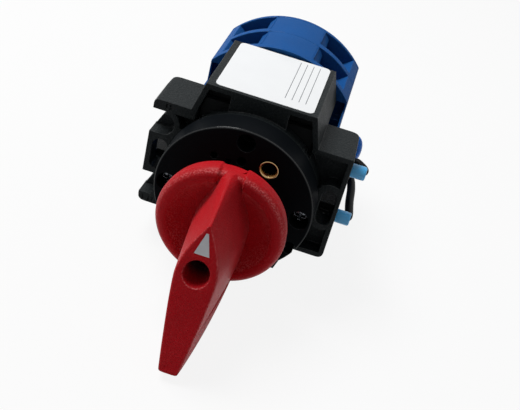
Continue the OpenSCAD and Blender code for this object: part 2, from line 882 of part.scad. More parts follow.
module bridges_two_upper() {
    color(COPPER) for (i = [1, 2]) bridge(i);
}

module bridges_two_lower() {
    color(COPPER) mirror([0, 0, 1]) for (i = [1, 2]) bridge(i);
}

module springs_one_upper() {
    color(STEEL) for (i = [0, 3]) contact_spring(i);
}

module springs_one_lower() {
    color(STEEL) mirror([0, 0, 1]) for (i = [0, 3]) contact_spring(i);
}

module springs_two_upper() {
    color(STEEL) for (i = [1, 2]) contact_spring(i);
}

module springs_two_lower() {
    color(STEEL) mirror([0, 0, 1]) for (i = [1, 2]) contact_spring(i);
}

// Fixed contacts, each with a tip inside and a threaded hole for its clamp screw
module fixed_contacts(i) {
    color(BRASS) four_ways() translate([0, work_y(i), 0]) difference() {
        union() {
            block([bar_in_x, -bar_w / 2, bar_z], [bar_out_x, bar_w / 2, bar_z + bar_t]);
            block(
                [bar_in_x, -bridge_w / 2 + 1, bar_z + bar_t],
                [bar_in_x + tip_l, bridge_w / 2 - 1, tip_top]
            );
        }
        translate([screw_x, 0, bar_z - past]) cylinder(r = screw_r + seat, h = bar_t + 2 * past);
    }
}

module fixed_contacts_1() {
    fixed_contacts(0);
}

module fixed_contacts_2() {
    fixed_contacts(1);
}

module fixed_contacts_3() {
    fixed_contacts(2);
}

module fixed_contacts_4() {
    fixed_contacts(3);
}

module clamp_plates() {
    clamp_half_w = pocket_x - screw_x - 0.2;
    color(STEEL) for (i = [0:3]) four_ways() translate([screw_x, work_y(i), clamp_z]) difference() {
        translate([-clamp_half_w, -bar_w / 2, 0]) cube([2 * clamp_half_w, bar_w, clamp_t]);
        translate([0, 0, -past]) cylinder(r = screw_r + 0.15, h = clamp_t + 2 * past);
    }
}

module terminal_screws() {
    color(STEEL) for (i = [0:3]) four_ways() translate([screw_x, work_y(i), clamp_z + clamp_t + seat])
        cross_screw(screw_head_r, screw_head_h, screw_r, clamp_z + clamp_t - bar_z + 0.05);
}

// Jumper wires: two black ones leave the first stage in ferrules, a blue one leaves the second
pin_in_x = 11.4;
collar_in_x = ferrule_x - 9.8;
wire_in_x = ferrule_x - 6;
mouth_l = 4.2;
bend_x = ferrule_x - 0.7;

module ferrules() {
    top_and_bottom() translate([0, wire_y(0), wire_z]) children();
}

module ferrule_pins() {
    color(STEEL) ferrules() rod_x(pin_d / 2, pin_in_x, collar_in_x + 2 - pin_in_x, 0, 0);
}

module ferrule_collars() {
    color(SKY) ferrules() difference() {
        rod_x(collar_d / 2, collar_in_x, ferrule_x - collar_in_x, 0, 0);
        rod_x(pin_d / 2 + seat, collar_in_x - past, past + 2, 0, 0);
        rod_x(wire_d / 2 + 0.1, wire_in_x - 0.1, ferrule_x, 0, 0);
        block([ferrule_x - mouth_l, 0, -wire_d / 2 - 0.1], [ferrule_x + past, collar_d, wire_d / 2 + 0.1]);
    }
}

// Routes of the jumpers, past the ferrules and into the stages behind
entry_x = stage_half_w - 2;
route_upper = [
    [wire_in_x, wire_y(0), wire_z], [bend_x - 2, wire_y(0), wire_z], [bend_x - 0.5, wire_y(0) + 0.6, wire_z],
    [bend_x, wire_y(0) + 1.8, wire_z], [31, wire_y(0) + 3.3, wire_z + 0.1],
    [29.2, wire_y(0) + 5, wire_z - 0.2], [28.3, wire_y(1) - 5, 4.4], [27.4, wire_y(1) - 2.8, -1.6],
    [26.4, wire_y(1) - 1, -wire_z + 2.4], [24.2, wire_y(1), -wire_z], [entry_x, wire_y(1), -wire_z]
];
route_lower = [
    [wire_in_x, wire_y(0), -wire_z], [bend_x - 2, wire_y(0), -wire_z],
    [bend_x - 0.5, wire_y(0) + 0.6, -wire_z], [bend_x, wire_y(0) + 2.2, -wire_z],
    [31.4, wire_y(0) + 9, -wire_z], [30.8, wire_y(2) - 8, -wire_z],
    [29.6, wire_y(2) - 2.6, -wire_z], [26.6, wire_y(2) - 0.2, -wire_z], [24, wire_y(2), -wire_z],
    [entry_x, wire_y(2), -wire_z]
];
route_blue = [
    [entry_x, wire_y(1), wire_z], [23, wire_y(1), wire_z + 0.3], [25.4, wire_y(1) + 0.2, wire_z + 2],
    [27.3, wire_y(1) + 0.8, wire_z + 2.6], [28.4, wire_y(1) + 1.6, wire_z + 0.8],
    [28.7, wire_y(1) + 2.8, wire_z - 2.6], [28.3, wire_y(1) + 6, 1.2], [28, wire_y(2), -3.4],
    [27.2, wire_y(3) - 5.6, -wire_z + 1.4], [26.4, wire_y(3) - 1.2, -wire_z], [24, wire_y(3), -wire_z],
    [entry_x, wire_y(3), -wire_z]
];

module jumper(route) {
    tube(curve(route, 4), wire_d / 2, 8);
}

module jumper_black_upper() {
    color(BLACK) jumper(route_upper);
}

module jumper_black_lower() {
    color(BLACK) jumper(route_lower);
}

module jumper_blue() {
    color([0, 0.3, 0.7]) jumper(route_blue);
}

handle();
pointer_inlay();
handle_screw();
front_plate();
brass_bush();
cover_screws();
mounting_frame();
rating_label();
latch_housing();
star_wheel();
detent_springs();
drive_shaft();
stage_1();
stage_2();
stage_3();
stage_4();
rear_cover();
tie_screws();
tie_nuts();
cams_one();
cams_two();
plungers_one_upper();
plungers_one_lower();
plungers_two_upper();
plungers_two_lower();
bridges_one_upper();
bridges_one_lower();
bridges_two_upper();
bridges_two_lower();
springs_one_upper();
springs_one_lower();
springs_two_upper();
springs_two_lower();
fixed_contacts_1();
fixed_contacts_2();
fixed_contacts_3();
fixed_contacts_4();
clamp_plates();
terminal_screws();
ferrule_pins();
ferrule_collars();
jumper_black_upper();
jumper_black_lower();
jumper_blue();
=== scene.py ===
from math import atan, cos, pi, radians, sin

import bmesh
import bpy
import numpy as np
from mathutils import Matrix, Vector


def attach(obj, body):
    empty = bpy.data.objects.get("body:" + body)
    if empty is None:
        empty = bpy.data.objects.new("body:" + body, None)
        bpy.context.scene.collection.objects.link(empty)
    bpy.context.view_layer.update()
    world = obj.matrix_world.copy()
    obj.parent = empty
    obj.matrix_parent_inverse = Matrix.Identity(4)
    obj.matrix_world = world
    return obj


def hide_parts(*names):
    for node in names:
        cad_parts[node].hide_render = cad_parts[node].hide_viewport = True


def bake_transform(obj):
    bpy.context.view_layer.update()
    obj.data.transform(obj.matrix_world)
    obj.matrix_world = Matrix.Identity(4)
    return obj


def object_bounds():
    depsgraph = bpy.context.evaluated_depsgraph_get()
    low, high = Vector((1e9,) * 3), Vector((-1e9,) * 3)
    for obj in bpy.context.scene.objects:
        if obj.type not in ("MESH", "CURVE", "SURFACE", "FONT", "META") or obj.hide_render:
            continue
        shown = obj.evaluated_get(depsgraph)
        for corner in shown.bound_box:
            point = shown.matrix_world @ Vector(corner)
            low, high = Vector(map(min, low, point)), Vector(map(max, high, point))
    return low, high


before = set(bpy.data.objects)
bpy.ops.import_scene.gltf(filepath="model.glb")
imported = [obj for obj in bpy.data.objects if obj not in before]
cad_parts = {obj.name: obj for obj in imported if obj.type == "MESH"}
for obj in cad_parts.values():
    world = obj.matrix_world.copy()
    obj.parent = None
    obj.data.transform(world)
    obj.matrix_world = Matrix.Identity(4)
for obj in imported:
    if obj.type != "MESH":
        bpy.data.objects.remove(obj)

cad_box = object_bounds()
MM = 0.001
scene = bpy.context.scene
scene.view_settings.view_transform = "Standard"

# Studio: the switch lies on a pale tabletop in a white room, under one wide soft light
# above and behind it and a smaller one on its right. The camera looks down on the front
# from a little to the right and is rolled, with a lens of 60 mm on a sensor of 36 mm.
EYE = (0.0230, -0.20415, 0.13587)
HEADING = radians(4.51)
LOOK_DOWN = radians(34.69)
ROLL = radians(15.42)
lens = bpy.data.cameras.new("front_view")
lens.sensor_fit = "HORIZONTAL"
lens.sensor_width = 36
lens.lens = 60.298
lens.clip_start = 0.01
viewer = bpy.data.objects.new("front_view", lens)
tilted = Matrix.Rotation(HEADING, 4, "Z") @ Matrix.Rotation(pi / 2 - LOOK_DOWN, 4, "X")
viewer.matrix_world = Matrix.Translation(EYE) @ tilted @ Matrix.Rotation(ROLL, 4, "Z")
scene.collection.objects.link(viewer)
scene.camera = viewer


def fed(tree, node, inputs):
    """The node, once each named input has a socket linked to it or a number or colour set."""
    for name, value in inputs.items():
        socket = node.inputs[name]
        if isinstance(value, bpy.types.NodeSocket):
            tree.links.new(value, socket)
        else:
            socket.default_value = (*value, 1) if socket.type == "RGBA" else value
    return node


def added(tree, kind, inputs=(), **settings):
    """New shader node of a kind in a tree, with its settings made and its inputs fed."""
    node = tree.nodes.new("ShaderNode" + kind)
    for name, value in settings.items():
        setattr(node, name, value)
    return fed(tree, node, dict(inputs))


def worked(tree, operation, *values):
    """Output of a Math node in a tree; each value is a socket or a number."""
    return added(tree, "Math", enumerate(values), operation=operation).outputs[0]


def plain_white(tree, lit, white, share, output):
    """Shows camera, glossy and transmission rays a share of a white shader in place of a lit one."""
    path = added(tree, "LightPath").outputs
    seen = worked(tree, "MAXIMUM", path["Is Camera Ray"], path["Is Glossy Ray"])
    seen = worked(tree, "MAXIMUM", seen, path["Is Transmission Ray"])
    mixed = added(tree, "MixShader", {0: worked(tree, "MULTIPLY", seen, share),
                                      1: lit.outputs[0], 2: white.outputs[0]})
    added(tree, output, {"Surface": mixed.outputs[0]})


def white_room(strength):
    """World that lights evenly at a low strength and is white to the eye."""
    world = bpy.data.worlds.new("white_room")
    world.use_nodes = True
    tree = world.node_tree
    tree.nodes.clear()
    light = added(tree, "Background", {"Color": (0.97, 0.99, 1.0), "Strength": strength})
    wall = added(tree, "Background", {"Color": (1, 1, 1), "Strength": 1})
    plain_white(tree, light, wall, 1, "OutputWorld")
    return world


scene.world = white_room(0.16)


def new_material(name):
    """Material with its standard nodes."""
    material = bpy.data.materials.new(name)
    material.use_nodes = True
    return material


def tabletop(level, reach):
    """Flat square of 2 x 2 points at height level; its white is part light and part plain white."""
    side = np.array((-reach, reach))
    x, y = np.meshgrid(side, side)
    points = np.stack((x, y, np.full_like(x, level)), -1).reshape(-1, 3)
    mesh = bpy.data.meshes.new("tabletop")
    mesh.from_pydata(points.tolist(), [], [(0, 1, 3, 2)])
    material = new_material("pale_tabletop")
    tree = material.node_tree
    tree.nodes.clear()
    lit = added(tree, "BsdfDiffuse", {"Color": (0.7, 0.7, 0.7)})
    plain = added(tree, "Emission", {"Color": (1, 1, 1)})
    plain_white(tree, lit, plain, 0.88, "OutputMaterial")
    mesh.materials.append(material)
    table = bpy.data.objects.new("tabletop", mesh)
    scene.collection.objects.link(table)
    return table


tabletop(cad_box[0][2] - 0.0002, 3.0)


def soft_light(name, place, width, height, watts):
    """Rectangular lamp at a place, turned so that its face points at the origin."""
    lamp = bpy.data.lights.new(name, "AREA")
    lamp.shape = "RECTANGLE"
    lamp.size = width
    lamp.size_y = height
    lamp.energy = watts
    holder = bpy.data.objects.new(name, lamp)
    away = np.array(place) / np.linalg.norm(place)
    across = np.cross((0, 0, 1), away)
    across = across / np.linalg.norm(across)
    turn = Matrix((across, np.cross(away, across), away)).transposed().to_4x4()
    holder.matrix_world = Matrix.Translation(place) @ turn
    scene.collection.objects.link(holder)


soft_light("overhead_light", (-0.28, 0.13, 0.58), width=0.34, height=0.30, watts=4.7)
soft_light("right_light", (0.55, 0.10, 0.35), width=0.35, height=0.35, watts=0.2)

# Mounting frame: one black moulding with a raised roof above and below and a slotted flange
# on each side, satin from a fine spark-eroded mould. Its edges are slightly rounded.
SHELF_Y = 5.8
SHELF_HALF_H = 6.2
SHELF_LIPS = [("UNION", (22.2, 5.9, -6.05), (27.6, 8.2, -5.3)),
              ("UNION", (-28.7, 5.9, -5.5), (-28, 13, -2.7))]


def new_piece(name, mesh, material, body, slot, *nodes):
    """Object at the origin that shows a mesh, rides on a body, if one is named, and stands for CAD nodes."""
    piece = bpy.data.objects.new(name, mesh)
    scene.collection.objects.link(piece)
    mesh.materials.clear()
    mesh.materials.append(material)
    if body:
        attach(piece, body)
    if nodes:
        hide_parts(*nodes)
    return piece


def grid_mesh(name, points, capped=True, sharp_deg=32):
    """Mesh over grids of points (grid, row, column): rows follow each other, columns close round, and
    the first and last rows are capped."""
    points = points.reshape(-1, *points.shape[-3:])
    number = np.arange(points.size // 3).reshape(points.shape[:3])
    turn = np.roll(number, -1, 2)
    faces = np.stack((number[:, :-1], turn[:, :-1], turn[:, 1:], number[:, 1:]), -1).reshape(-1, 4).tolist()
    if capped:
        faces += number[:, 0, ::-1].tolist() + number[:, -1].tolist()
    mesh = bpy.data.meshes.new(name)
    mesh.from_pydata((points.reshape(-1, 3) * MM).tolist(), [], faces)
    form = bmesh.new()
    form.from_mesh(mesh)
    bmesh.ops.remove_doubles(form, verts=form.verts, dist=1e-7)
    bmesh.ops.recalc_face_normals(form, faces=form.faces)
    form.to_mesh(mesh)
    form.free()
    mesh.shade_smooth()
    mesh.set_sharp_from_angle(angle=radians(sharp_deg))
    return mesh


def prism(name, outline, low, high):
    """Straight prism along Y: an outline in X and Z, carried from one depth to another."""
    x, z = np.array(outline, float).T
    return grid_mesh(name, np.stack([np.stack((x, np.full_like(x, y), z), -1) for y in (low, high)]))


def block(low, high):
    """Box between two corners."""
    (x0, y0, z0), (x1, y1, z1) = low, high
    return prism("block", [(x0, z0), (x1, z0), (x1, z1), (x0, z1)], y0, y1)


def carve(mesh, tool, how):
    """Union or difference of two closed meshes, as a new mesh with sharp edges marked."""
    body, other = (bpy.data.objects.new("carving", m) for m in (mesh, tool))
    for holder in (body, other):
        scene.collection.objects.link(holder)
    step = body.modifiers.new("carving", "BOOLEAN")
    step.operation = how
    step.object = other
    step.solver = "EXACT"
    result = bpy.data.meshes.new_from_object(body.evaluated_get(bpy.context.evaluated_depsgraph_get()))
    for holder in (body, other):
        bpy.data.objects.remove(holder)
    result.set_sharp_from_angle(angle=radians(28))
    return result


def softened(node, material, slot, width, from_deg=35, changes=()):
    """Copy of a CAD node: blocks are added or cut, its triangles are laid out anew, and edges sharper
    than from_deg are rounded to a width in millimetres. A change is a kind, low and high corners."""
    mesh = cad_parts[node].data.copy()
    for how, low, high in changes:
        mesh = carve(mesh, block(low, high), how)
    form = bmesh.new()
    form.from_mesh(mesh)
    bmesh.ops.remove_doubles(form, verts=form.verts, dist=2e-6)
    bmesh.ops.dissolve_limit(form, angle_limit=radians(0.6), verts=form.verts, edges=form.edges)
    bmesh.ops.triangulate(form, faces=form.faces, quad_method="BEAUTY", ngon_method="BEAUTY")
    mesh = bpy.data.meshes.new(node + "_moulded")
    form.to_mesh(mesh)
    form.free()
    mesh.shade_smooth()
    piece = new_piece(node + "_moulded", mesh, material, "housing", slot, node)
    rounding = piece.modifiers.new("rounded_edges", "BEVEL")
    rounding.width = width * MM
    rounding.segments = 2
    rounding.limit_method = "ANGLE"
    rounding.angle_limit = radians(from_deg)
    rounding.use_clamp_overlap = False
    rounding.loop_slide = False
    rounding.miter_outer = "MITER_ARC"
    piece.modifiers.new("flat_faces", "WEIGHTED_NORMAL").weight = 80


def node_group(name, wants, gives):
    """Empty shader node group with float inputs and outputs of the given names."""
    group = bpy.data.node_groups.new(name, "ShaderNodeTree")
    for label in wants:
        group.interface.new_socket(label, in_out="INPUT", socket_type="NodeSocketFloat")
    for label in gives:
        group.interface.new_socket(label, in_out="OUTPUT", socket_type="NodeSocketFloat")
    return group, group.nodes.new("NodeGroupInput"), group.nodes.new("NodeGroupOutput")


def moulded_grain():
    """Height of a fine pitted texture and slow clouding, both from noise on Object coordinates."""
    group, wants, gives = node_group("moulded_grain", ("Pits", "Clouds"), ("Height", "Clouding"))
    place = added(group, "TexCoord").outputs["Object"]
    for want, give, detail in (("Pits", "Height", 3), ("Clouds", "Clouding", 2)):
        noise = added(group, "TexNoise", {"Vector": place, "Scale": wants.outputs[want], "Detail": detail})
        group.links.new(noise.outputs["Fac"], gives.inputs[give])
    return group


def rounded_edges():
    """Mask of rounded edges from the normal: for a boxy piece it falls with the normal's largest part,
    for one turned about the shaft it is the cube of 4 y2 (1 - y2), raised where it faces up as painted top
    light."""
    group, wants, gives = node_group("rounded_edges", ("Turned",), ("Mask",))
    normal = added(group, "SeparateXYZ", {0: added(group, "NewGeometry").outputs["Normal"]}).outputs
    # Painted top light: the mask is stronger on faces that point up, towards the overhead lamp.
    painted_top_light = worked(group, "ADD", worked(group, "MAXIMUM", normal["Z"], 0), 0.35)
    x, y, z = (worked(group, "ABSOLUTE", part) for part in normal)
    largest = worked(group, "MAXIMUM", worked(group, "MAXIMUM", x, y), z)
    boxy = added(group, "MapRange", {"Value": largest, "From Min": 0.84, "From Max": 0.72})
    square = worked(group, "MULTIPLY", y, y)
    rest = worked(group, "SUBTRACT", 1, square)
    hump = worked(group, "MULTIPLY", worked(group, "MULTIPLY", square, 4), rest)
    turned = worked(group, "MULTIPLY", worked(group, "POWER", hump, 3), painted_top_light)
    chosen = added(group, "Mix", {"Factor": wants.outputs["Turned"],
                                  "A": boxy.outputs["Result"], "B": turned})
    group.links.new(chosen.outputs["Result"], gives.inputs["Mask"])
    return group


GRAIN = moulded_grain()
EDGES = rounded_edges()


def blended(tree, factor, first, second):
    """Colour that goes from a first to a second as a factor goes from 0 to 1."""
    return added(tree, "Mix", {"Factor": factor, "A": first, "B": second}, data_type="RGBA").outputs["Result"]


def surfaced(tree, colour, roughness, spread, vary, height, relief):
    """The tree's shader, with a colour, a roughness that a value varies by a spread either way, and the
    relief of a height in micrometres."""
    gloss = added(tree, "MapRange", {"Value": vary,
                                     "To Min": roughness - spread, "To Max": roughness + spread})
    bump = added(tree, "Bump", {"Height": height, "Strength": 1, "Distance": relief * 1e-6})
    return fed(tree, tree.nodes["Principled BSDF"],
               {"Base Color": colour, "Roughness": gloss.outputs["Result"], "Normal": bump.outputs["Normal"]})


def plastic(name, colour, pale, roughness, pits, relief, specular,
            pale_wear_and_highlight=0.35, shine=0.0, turned_piece=1, cloud=0.12, polish=0.16, flats=0.0):
    """Moulded plastic: colour clouds by a few percent, and pits of the given number per metre give a
    relief in micrometres. Their tips are painted pale, partly edge wear and partly painted highlight,
    a little on flats and more on edges, which are glossy."""
    material = new_material(name)
    tree = material.node_tree
    grain = added(tree, "Group", {"Pits": pits, "Clouds": 140}, node_tree=GRAIN).outputs
    edges = added(tree, "Group", {"Turned": turned_piece}, node_tree=EDGES).outputs["Mask"]
    darker, lighter = ([min(1, part * change) for part in colour] for change in (1 - cloud, 1 + cloud))
    clouded = blended(tree, grain["Clouding"], darker, lighter)
    tips = added(tree, "MapRange", {"Value": grain["Height"], "From Min": 0.46, "From Max": 0.6,
                                    "To Max": 2 * pale_wear_and_highlight}).outputs["Result"]
    # Edge wear and painted highlight: grain tips turn pale, more on rounded edges and a little on flats.
    wear_and_highlight_share = worked(tree, "MULTIPLY", worked(tree, "ADD", edges, flats), tips)
    wear_and_highlight_colour = blended(tree, worked(tree, "MINIMUM", wear_and_highlight_share, 1), clouded, pale)
    shader = surfaced(tree, wear_and_highlight_colour, roughness, 0.06, grain["Clouding"], grain["Height"], relief)
    fed(tree, shader, {"Specular IOR Level": specular, "Coat Roughness": polish})
    if shine:
        fed(tree, shader, {"Coat Weight": worked(tree, "MULTIPLY", edges, shine)})
    return material


def object_axes(tree):
    """The three Object coordinates of a point, as sockets."""
    return added(tree, "SeparateXYZ", {0: added(tree, "TexCoord").outputs["Object"]}).outputs


def lay_over(material, mask, colour):
    """Lays a colour over a material's own wherever a mask is 1."""
    tree = material.node_tree
    base = tree.nodes["Principled BSDF"].inputs["Base Color"]
    tree.links.new(blended(tree, mask, base.links[0].from_socket, colour), base)


# Pale grain tips on the flats are painted glints; the pale rounded edges are painted highlight lines and edge
# wear.
frame_black = plastic("satin_black_moulding", (0.008, 0.0105, 0.0115), (0.05, 0.056, 0.058),
                      roughness=0.5, pits=1900, relief=240, specular=0.08,
                      pale_wear_and_highlight=0.5, shine=0.8, turned_piece=0, flats=0.14)
frame_tree = frame_black.node_tree
# Painted shade: the shelf inside the frame, seen through the slots, is painted near black.
_, inwards, level = object_axes(frame_tree)
shelf_shade = worked(frame_tree, "MULTIPLY", worked(frame_tree, "GREATER_THAN", inwards, SHELF_Y * MM),
                  worked(frame_tree, "COMPARE", level, 0, SHELF_HALF_H * MM))
lay_over(frame_black, shelf_shade, (0.0012, 0.0016, 0.0018))
softened("mounting_frame", frame_black, "black_plastic", width=0.16, changes=SHELF_LIPS)

# Label: a white self-adhesive film on the roof with rounded corners, bare but for four thin
# ruled lines beside its right edge, which divide it into empty rows.
label_film = plastic("white_label_film", (0.78, 0.79, 0.80), (0.8, 0.8, 0.8),
                     roughness=0.35, pits=900, relief=3, specular=0.15, pale_wear_and_highlight=0, cloud=0.02)


def ruled_lines(tree, first, pitch, count, low, high, width):
    """Mask of lines along Y: where the distance to the nearest multiple of the pitch is under half
    the width. Sizes are in millimetres."""
    x, y, _ = object_axes(tree)
    apart = worked(tree, "PINGPONG", worked(tree, "SUBTRACT", x, first * MM), pitch / 2 * MM)
    line = worked(tree, "LESS_THAN", apart, width / 2 * MM)
    middle = first + (count - 1) / 2 * pitch
    reach = (count - 0.5) / 2 * pitch
    within_x = worked(tree, "COMPARE", x, middle * MM, reach * MM)
    within_y = worked(tree, "COMPARE", y, (low + high) / 2 * MM, (high - low) / 2 * MM)
    return worked(tree, "MULTIPLY", worked(tree, "MULTIPLY", within_x, within_y), line)


label_lines = ruled_lines(label_film.node_tree, first=5.3, pitch=1.95, count=4, low=5, high=29, width=0.2)
lay_over(label_film, label_lines, (0.16, 0.17, 0.18))


def dress(node, material):
    """Puts a material on a CAD node that keeps its own shape."""
    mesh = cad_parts[node].data
    mesh.materials.clear()
    mesh.materials.append(material)


dress("rating_label", label_film)

# Detent: a black housing behind the front disc holds an ivory star wheel between two leaf
# springs, which press into the notches of the wheel and hold the handle in each position.
inner_black = plastic("matt_black_moulding", (0.008, 0.009, 0.0095), (0.03, 0.03, 0.03),
                      roughness=0.55, pits=5000, relief=20, specular=0.08)
dress("latch_housing", inner_black)
ivory = plastic("ivory_moulding", (0.62, 0.56, 0.42), (0.7, 0.66, 0.54),
                roughness=0.42, pits=4000, relief=10, specular=0.5)
dress("star_wheel", ivory)


def metal(name, colour, dull, roughness, streaks, relief):
    """Bare metal: streaks, with their number per metre along each axis, vary its colour, roughness and
    relief."""
    material = new_material(name)
    tree = material.node_tree
    place = added(tree, "TexCoord").outputs["Object"]
    drawn = added(tree, "Mapping", {"Vector": place, "Scale": streaks}).outputs["Vector"]
    noise = added(tree, "TexNoise", {"Vector": drawn, "Scale": 1, "Detail": 4}).outputs["Fac"]
    shader = surfaced(tree, blended(tree, noise, dull, colour), roughness, 0.08, noise, noise, relief)
    fed(tree, shader, {"Metallic": 1})
    return material


spring_steel = metal("drawn_spring_steel", (0.52, 0.53, 0.55), (0.4, 0.41, 0.43),
                     roughness=0.3, streaks=(900, 900, 9000), relief=4)
dress("detent_springs", spring_steel)

# Front disc: a round black moulding with a rounded edge, smoother than the frame, on two
# cross-head screws in deep recesses. A turned brass bush is pressed into one of its holes.
BUSH_X = 7.548
BUSH_Z = 13.071
BUSH_PROFILE = [(2.7, -3.4), (2.7, -10.7), (2.64, -10.9), (2.5, -11), (2.34, -10.97), (2.2, -10.8),
                (1.9, -10.2), (1.7, -9.7), (1.65, -9.4), (1.65, -3.4), (2.7, -3.4)]
BORE_FROM_Y = -10.2
BORE_DARK_Y = -9.4
COVER_SCREW = (18.888, -6.6, 0.66)
# Painted highlight and edge wear: the disc's rounded rim turns pale, most at the top, where it faces up.
disc_black = plastic("smooth_black_moulding", (0.0035, 0.0044, 0.0055), (0.02, 0.022, 0.024),
                     roughness=0.45, pits=3000, relief=12, specular=0.012, pale_wear_and_highlight=0.5, shine=0.75, polish=0.07)
softened("front_plate", disc_black, "black_plastic", width=0.05, from_deg=40)


def spun(profile, sides):
    """Surface of revolution: a profile of radius r and height h gives the points (r cos a, r sin a, h)."""
    angle = np.linspace(0, 2 * pi, sides, endpoint=False)
    r, h = np.array(profile, float).T[:, :, None]
    return np.stack((r * np.cos(angle), r * np.sin(angle), np.broadcast_to(h, (len(r), sides))), -1)


def placed(points, origin, *axes):
    """Points carried to an origin, with their own three axes along the given directions."""
    return np.array(origin) + points @ np.array(axes, float)


turned_brass = metal("turned_brass", (0.52, 0.37, 0.19), (0.32, 0.21, 0.09),
                     roughness=0.2, streaks=(6000, 700, 6000), relief=5)
# Painted shade: inside the bore, from BORE_FROM_Y to BORE_DARK_Y, the brass is painted dark brown.
brass_tree = turned_brass.node_tree
bore_shade = added(brass_tree, "MapRange", {"Value": object_axes(brass_tree)[1], "From Min": BORE_FROM_Y * MM,
                                         "From Max": BORE_DARK_Y * MM})
lay_over(turned_brass, bore_shade.outputs["Result"], (0.12, 0.045, 0.02))
bush_points = placed(spun(BUSH_PROFILE, 64), (BUSH_X, 0, BUSH_Z), (1, 0, 0), (0, 0, 1), (0, 1, 0))
new_piece("bush_turned", grid_mesh("bush_turned", bush_points, capped=False),
          turned_brass, "housing", "brass", "brass_bush")


def ease(t):
    """Smooth step from 0 to 1."""
    t = np.clip(t, 0, 1)
    return t * t * (3 - 2 * t)


def cross_head(head_r, head_h, shank_r, shank_l, rings=30, sides=88):
    """Screw with its seat at height 0. The head is a dome, head_h (1 - 0.25 r2), less a crossed recess
    whose depth tapers along the arms; the shank ends in ridges of 0.5 mm pitch."""
    angle = np.linspace(0, 2 * pi, sides, endpoint=False)
    share = np.linspace(0.004, 0.95, rings)[:, None]
    x, y = np.abs(share * np.cos(angle)), np.abs(share * np.sin(angle))
    along, across = np.maximum(x, y), np.minimum(x, y)
    recess = 0.8 * np.clip((0.66 - along) / 0.3, 0, 1) * ease((0.2 - across) / 0.07)
    top = head_h * (1 - 0.25 * share ** 2 - recess)
    ridge_h = -np.arange(max(0.5, shank_l - 8), shank_l - 0.4, 0.25)
    ridge_r = shank_r - 0.14 * (np.arange(len(ridge_h)) % 2)
    r = np.concatenate(((0.985, 1, 1), [shank_r / head_r], ridge_r / head_r, [0.6 * shank_r / head_r, 0.002]))
    h = np.concatenate(((0.7 * head_h, 0.6 * head_h, 0, 0), ridge_h, (-shank_l, -shank_l)))
    radius = head_r * np.concatenate((np.broadcast_to(share, top.shape), np.repeat(r[:, None], sides, 1)))
    height = np.concatenate((top, np.repeat(h[:, None], sides, 1)))
    return np.stack((radius * np.cos(angle), radius * np.sin(angle), height), -1)


def screw_pair(name, head, place, facing, material, node):
    """Two like screws, one across the shaft from the other; facing is 1 or -1 along Y."""
    x, y, z = place
    pair = [placed(head, (side * x, y, side * z), (1, 0, 0), (0, 0, 1), (0, facing, 0)) for side in (1, -1)]
    new_piece(name, grid_mesh(name, np.stack(pair)), material, "housing", "steel", node)


blackened_steel = metal("blackened_steel", (0.16, 0.17, 0.19), (0.05, 0.052, 0.058),
                        roughness=0.24, streaks=(2600, 2600, 2600), relief=6)
cover_head = cross_head(head_r=2.4, head_h=1.7, shank_r=1.35, shank_l=12)
screw_pair("cover_screws_cross", cover_head, COVER_SCREW, -1, blackened_steel, "cover_screws")

# Shaft: a square steel bar, drawn along its length. It runs from the handle, whose screw holds
# it, through the star wheel and the cams to a round journal in the rear cover.
shaft_steel = metal("drawn_steel", (0.6, 0.61, 0.63), (0.47, 0.48, 0.5),
                    roughness=0.32, streaks=(5000, 300, 5000), relief=5)
dress("drive_shaft", shaft_steel)

# Contact stages: four blue mouldings and a rear cover, stacked along the shaft and held by two
# long screws with nuts. The last two stages are round, with terminal pockets beside a raised band.
POCKET_X = (17.2, 20.9)
TIE_SCREW = (6.4, 57.6, 16.8)
# The pale grain tips and rounded edges of the blue are partly edge wear and partly painted highlight.
stage_blue = plastic("satin_blue_moulding", (0.012, 0.078, 0.26), (0.05, 0.17, 0.40),
                     roughness=0.45, pits=2000, relief=90, specular=0.02, pale_wear_and_highlight=0.4, shine=0.25)


def four_cuts(front, back, low, high):
    """Changes that cut one block, from depth front to back and height low to high, above and below the
    shaft on both sides."""
    cuts = []
    for side in (1, -1):
        for over in (1, -1):
            x0, x1 = sorted(side * x for x in POCKET_X)
            z0, z1 = sorted((over * low, over * high))
            cuts.append(("DIFFERENCE", (x0, front, z0), (x1, back, z1)))
    return cuts


pockets = {"stage_2": four_cuts(20.7, 31.6, 10.9, 16) + four_cuts(25.6, 31.6, 2.5, 12),
           "stage_3": four_cuts(31.2, 34.4, 11, 17)}
for stage in ("stage_1", "stage_2", "stage_3", "stage_4", "rear_cover"):
    softened(stage, stage_blue, "blue_plastic", width=0.22, changes=pockets.get(stage, ()))
plated_steel = metal("zinc_plated_steel", (0.66, 0.67, 0.69), (0.52, 0.53, 0.55),
                     roughness=0.3, streaks=(2600, 2600, 2600), relief=5)
tie_head = cross_head(head_r=2.75, head_h=2, shank_r=1.5, shank_l=60)
screw_pair("tie_screws_cross", tie_head, TIE_SCREW, 1, plated_steel, "tie_screws")
dress("tie_nuts", plated_steel)

# Cams and followers: ivory cams with a square hole sit on the shaft, and each has an ivory
# follower above and one below, which it pushes out or lets in as the handle turns.
FOUR = ("one_upper", "one_lower", "two_upper", "two_lower")
for node in ("cams_one", "cams_two", *("plungers_" + side for side in FOUR)):
    dress(node, ivory)

# Contacts: copper bridges under coil springs, brass bars with clamp plates and cross-head screws.
# A coil stands on its follower and against the stage. In the switch its inner end moves and its outer end
# stays; here each coil is a fixed helix, attached to no body.
STAGE_PITCH = 12.4
STAGE_Y = [14 + STAGE_PITCH * stage for stage in range(4)]
COIL_R = 2.3
COIL_WIRE_R = 0.35
COIL_LOW = 14.47
COIL_HIGH = 21.2
CLAMP_X = 13.3
CLAMP_Z = 10.23
stamped_copper = metal("stamped_copper", (0.8, 0.48, 0.33), (0.62, 0.34, 0.22),
                       roughness=0.34, streaks=(1500, 5000, 5000), relief=6)


